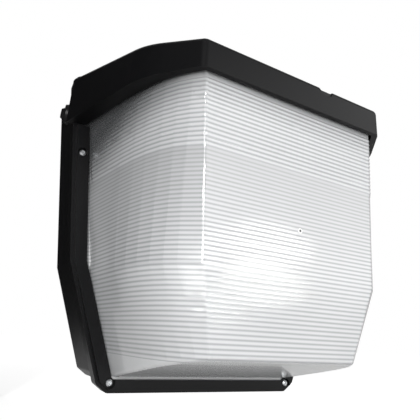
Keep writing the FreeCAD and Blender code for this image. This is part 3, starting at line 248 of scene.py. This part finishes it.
# The corner between visor and frame is tinted dark as well: painted shade under the visor.
# That is a tint as well: why the corner is dark can't be told from it.
deep = add(tree, "ShaderNodeMath", {0: parts.outputs["Y"], 1: CORNER_LEAN, 2: height},
           operation="MULTIPLY_ADD")
corner_shade_mask = add(tree, "ShaderNodeMapRange", {"Value": deep.outputs[0], "From Min": CORNER_FROM,
                                             "From Max": CORNER_TO, "To Min": 0.0, "To Max": 0.9},
                interpolation_type="SMOOTHSTEP")
corner = add(tree, "ShaderNodeMix", {0: corner_shade_mask.outputs["Result"], 6: zoned.outputs[2],
                                     7: linear(PAINTED_CORNER_SHADE)}, data_type="RGBA")
# The moulding's gate is drawn as a dark point about 2 mm across with a pale ring round it: painted shade and a
# painted highlight in place of its small relief.
from_gate = add(tree, "ShaderNodeVectorMath", {0: place.outputs["Object"], 1: GATE_SPOT},
                operation="DISTANCE")
scaled = add(tree, "ShaderNodeMath", {0: from_gate.outputs["Value"], 1: 250.0}, operation="MULTIPLY")
gate = add(tree, "ShaderNodeValToRGB", {"Fac": scaled.outputs[0]})
gate.color_ramp.elements[0].position = 0.25
gate.color_ramp.elements[0].color = linear("#2c2c2d")
gate.color_ramp.elements[1].position = 0.45
gate.color_ramp.elements[1].color = linear("#ffffff")
around = add(tree, "ShaderNodeMath", {0: from_gate.outputs["Value"], 1: GATE_REACH}, operation="LESS_THAN")
marked = add(tree, "ShaderNodeMix", {0: around.outputs[0], 6: corner.outputs[2], 7: gate.outputs["Color"]},
             data_type="RGBA")
tree.links.new(marked.outputs[2], shader.inputs["Base Color"])
show(bowl, "ribbed_lens", hazy_polycarbonate, "door", "lens_clear", "lens")


# ---------------------------------------------------------------- lens seal
# Flat silicone ring between the lens rim and the front housing's ledge.
coat(seal_rubber, "lens_seal")


# ---------------------------------------------------------------- lens frame
# U-shaped cast bar that clamps the lens rim, powder coated as the housing is.
coat(powder_coat, "lens_frame")


# ---------------------------------------------------------------- gear plate, strap and bracket
# Galvanised steel sheet, sheared and bent. Zinc crystals of about 12 mm show as
# slightly lighter and darker patches.
galvanised, tree, shader = start_finish("galvanised_sheet", "#9a9da0", {"Metallic": 1.0, "Roughness": 0.42})
place = add(tree, "ShaderNodeTexCoord")
crystals = add(tree, "ShaderNodeTexVoronoi", {"Vector": place.outputs["Object"], "Scale": 1 / (12 * MM)})
ramp = add(tree, "ShaderNodeValToRGB", {"Fac": crystals.outputs["Distance"]})
ramp.color_ramp.elements[0].color = linear("#8b8e91")
ramp.color_ramp.elements[1].color = linear("#aeb1b4")
tree.links.new(ramp.outputs["Color"], shader.inputs["Base Color"])
coat(galvanised, "gear_plate", "capacitor_strap", "socket_bracket")


# ---------------------------------------------------------------- ballast
# Stack of varnished electrical steel sheets, with a coil wound with polyester tape.
# The sheets are 0.5 mm thick; they are drawn 1.5 mm thick so that they show.
def stripes(tree, shader, pitch_mm, height_mm, axis):
    """Straight ridges of a real pitch across an axis of the piece."""
    place = add(tree, "ShaderNodeTexCoord")
    wave = add(tree, "ShaderNodeTexWave", {"Vector": place.outputs["Object"], "Scale": 0.314 / (pitch_mm * MM)},
               bands_direction=axis)
    bump = add(tree, "ShaderNodeBump", {"Height": wave.outputs["Fac"], "Distance": height_mm * MM})
    tree.links.new(bump.outputs["Normal"], shader.inputs["Normal"])


core_steel, tree, shader = start_finish("varnished_core_steel", "#2a2724", {"Metallic": 0.6, "Roughness": 0.45})
stripes(tree, shader, 1.5, 0.3, "Y")
coat(core_steel, "ballast_core")
coil_tape, tree, shader = start_finish("polyester_coil_tape", "#c08a2b", {"Roughness": 0.4})
stripes(tree, shader, 9.0, 0.4, "X")
coat(coil_tape, "ballast_coil")


# ---------------------------------------------------------------- capacitor and reflector
# Drawn aluminium can, and the bright rolled aluminium sheet behind the lamp.
bright_aluminium, tree, shader = start_finish("bright_rolled_aluminium", "#d4d6d8",
                                              {"Metallic": 1.0, "Roughness": 0.3})
grain(tree, shader, 1.0, 0.02, 0.5, (0.05, 1, 1))
coat(bright_aluminium, "capacitor", "reflector")


# ---------------------------------------------------------------- ignitor
# Potted circuit in a moulded nylon case.
coat(black_nylon, "ignitor")


# ---------------------------------------------------------------- terminal block
# Moulded urea resin, cream and slightly glossy.
cream_resin, tree, shader = start_finish("moulded_cream_resin", "#e2dcc8", {"Roughness": 0.35})
grain(tree, shader, 2.0, 0.02, 0.4)
coat(cream_resin, "terminal_block")


# ---------------------------------------------------------------- earth screw
# Brass screw dyed green.
green_dye, tree, shader = start_finish("green_dyed_screw", "#1f6b36", {"Metallic": 0.7, "Roughness": 0.35})
grain(tree, shader, 1.0, 0.02, 0.4)
coat(green_dye, "earth_screw")


# ---------------------------------------------------------------- leads
# Stranded copper in extruded silicone and PVC insulation: even colour, soft gloss.
for node_name, colour in (("black_lead", "#121213"), ("white_lead", "#dcdcd6"), ("green_lead", "#1d7a3a")):
    insulation, tree, shader = start_finish(f"extruded_{node_name}", colour, {"Roughness": 0.38})
    grain(tree, shader, 3.0, 0.02, 0.4)
    coat(insulation, node_name)


# ---------------------------------------------------------------- lamp socket
# Pressed and glazed porcelain, white with a wet gloss.
porcelain, tree, shader = start_finish("glazed_porcelain", "#ece9e1", {"Roughness": 0.12})
grain(tree, shader, 6.0, 0.05, 0.4)
coat(porcelain, "lamp_socket")


# ---------------------------------------------------------------- lamp
# Glass bulb with a white coating inside, which glows, in a nickel-plated brass cap.
# The cap's rolled thread has 6.35 mm pitch.
coated_glass, tree, shader = start_finish("coated_bulb_glass", "#f4f4ef",
                                          {"Roughness": 0.15, "Emission Strength": 6.0})
shader.inputs["Emission Color"].default_value = linear("#fffdf5")
coat(coated_glass, "lamp_bulb")
plated_brass, tree, shader = start_finish("plated_brass_cap", "#b7ac92", {"Metallic": 1.0, "Roughness": 0.25})
stripes(tree, shader, 6.35, 0.9, "X")
coat(plated_brass, "lamp_cap")


# ---------------------------------------------------------------- floor, light and camera
# Plain white studio: pale floor under the light, a square softbox at the upper right, a
# narrow strip at the left, and an even surround that is white to the camera.
FLOOR_HEIGHT, FLOOR_HALF = -0.32, 12
SEEN_LIFT, FLOOR_FILL = 0.55, 0.1      # floor's own light: to the camera only, and to every ray
floor_paint, tree, shader = start_finish("studio_floor", "#f4f4f4",
                                         {"Roughness": 0.9, "Specular IOR Level": 0.0})
shader.inputs["Emission Color"].default_value = linear("#ffffff")
seen = add(tree, "ShaderNodeLightPath")
lift = add(tree, "ShaderNodeMath", {0: seen.outputs["Is Camera Ray"], 1: SEEN_LIFT, 2: FLOOR_FILL},
           operation="MULTIPLY_ADD")
tree.links.new(lift.outputs[0], shader.inputs["Emission Strength"])
bm = bmesh.new()
bmesh.ops.create_grid(bm, x_segments=1, y_segments=1, size=FLOOR_HALF)
bmesh.ops.translate(bm, verts=bm.verts, vec=(0, 0, FLOOR_HEIGHT))
mesh = bpy.data.meshes.new("studio_floor")
bm.to_mesh(mesh)
bm.free()
mesh.materials.append(floor_paint)
floor = bpy.data.objects.new("studio_floor", mesh)
bpy.context.scene.collection.objects.link(floor)

# Two dull black cards that the camera doesn't see keep the left sides of the castings dark.
for name, spot, half_size, axis in (("dark_card_left", (-1.3, 0.6, 0.9), 1.3, "Y"),
                                    ("dark_card_behind", (-0.95, 1.0, 0.4), 0.8, "X")):
    bm = bmesh.new()
    bmesh.ops.create_grid(bm, x_segments=1, y_segments=1, size=half_size)
    bmesh.ops.rotate(bm, verts=bm.verts, matrix=Matrix.Rotation(math.radians(90), 3, axis))
    bmesh.ops.translate(bm, verts=bm.verts, vec=spot)
    mesh = bpy.data.meshes.new(name)
    bm.to_mesh(mesh)
    bm.free()
    mesh.materials.append(seal_rubber)
    card = bpy.data.objects.new(name, mesh)
    card.visible_camera = False
    bpy.context.scene.collection.objects.link(card)

AIM = Vector((0, -0.1, 0))
for name, spot, wide, tall, watts in (("softbox_right", (0.9, -1.5, 0.45), 1.6, 1.6, 13),
                                      ("strip_left", (-0.85, -1.5, 0.2), 0.2, 0.9, 24)):
    lamp = bpy.data.lights.new(name, "AREA")
    lamp.shape = "RECTANGLE"
    lamp.size = wide
    lamp.size_y = tall
    lamp.energy = watts
    softbox = bpy.data.objects.new(name, lamp)
    softbox.location = spot
    softbox.rotation_mode = "QUATERNION"
    softbox.rotation_quaternion = (AIM - Vector(spot)).to_track_quat("-Z", "Y")
    bpy.context.scene.collection.objects.link(softbox)

# Camera and transmission rays meet white; reflections and diffuse light meet the lower level.
DIFFUSE_LIGHT, BACKGROUND = 0.42, 1.0
world = bpy.data.worlds.new("white_studio")
world.use_nodes = True
bpy.context.scene.world = world
tree = world.node_tree
seen = add(tree, "ShaderNodeLightPath")
shown = add(tree, "ShaderNodeMath", {0: seen.outputs["Is Camera Ray"], 1: seen.outputs["Is Transmission Ray"]},
            operation="MAXIMUM")
level = add(tree, "ShaderNodeMapRange", {"Value": shown.outputs[0], "To Min": DIFFUSE_LIGHT,
                                         "To Max": BACKGROUND})
surround = tree.nodes["Background"]
surround.inputs["Color"].default_value = linear("#ffffff")
tree.links.new(level.outputs["Result"], surround.inputs["Strength"])

# The photograph was taken from close by, below and to the left, with a short lens.
CAMERA_SPOT = Vector((-0.2515, -0.5461, -0.1068))
AZIMUTH, ELEVATION, ROLL = math.radians(-28.03), math.radians(16.84), math.radians(3.25)
forward = Vector((-math.sin(AZIMUTH) * math.cos(ELEVATION), math.cos(AZIMUTH) * math.cos(ELEVATION),
                  math.sin(ELEVATION)))
level_right = Vector((math.cos(AZIMUTH), math.sin(AZIMUTH), 0))
level_up = level_right.cross(forward)
right = math.cos(ROLL) * level_right + math.sin(ROLL) * level_up
up = math.cos(ROLL) * level_up - math.sin(ROLL) * level_right
camera_data = bpy.data.cameras.new("camera")
camera_data.lens = 34.41
camera_data.sensor_width = 36.0
camera_data.shift_x = -0.0061
camera_data.shift_y = 0.0161
camera_data.clip_start = 0.01
camera = bpy.data.objects.new("camera", camera_data)
turn = Matrix((right, up, -forward)).transposed().to_4x4()
camera.matrix_world = Matrix.Translation(CAMERA_SPOT) @ turn
bpy.context.scene.collection.objects.link(camera)
bpy.context.scene.camera = camera
bpy.context.scene.view_settings.view_transform = "Standard"
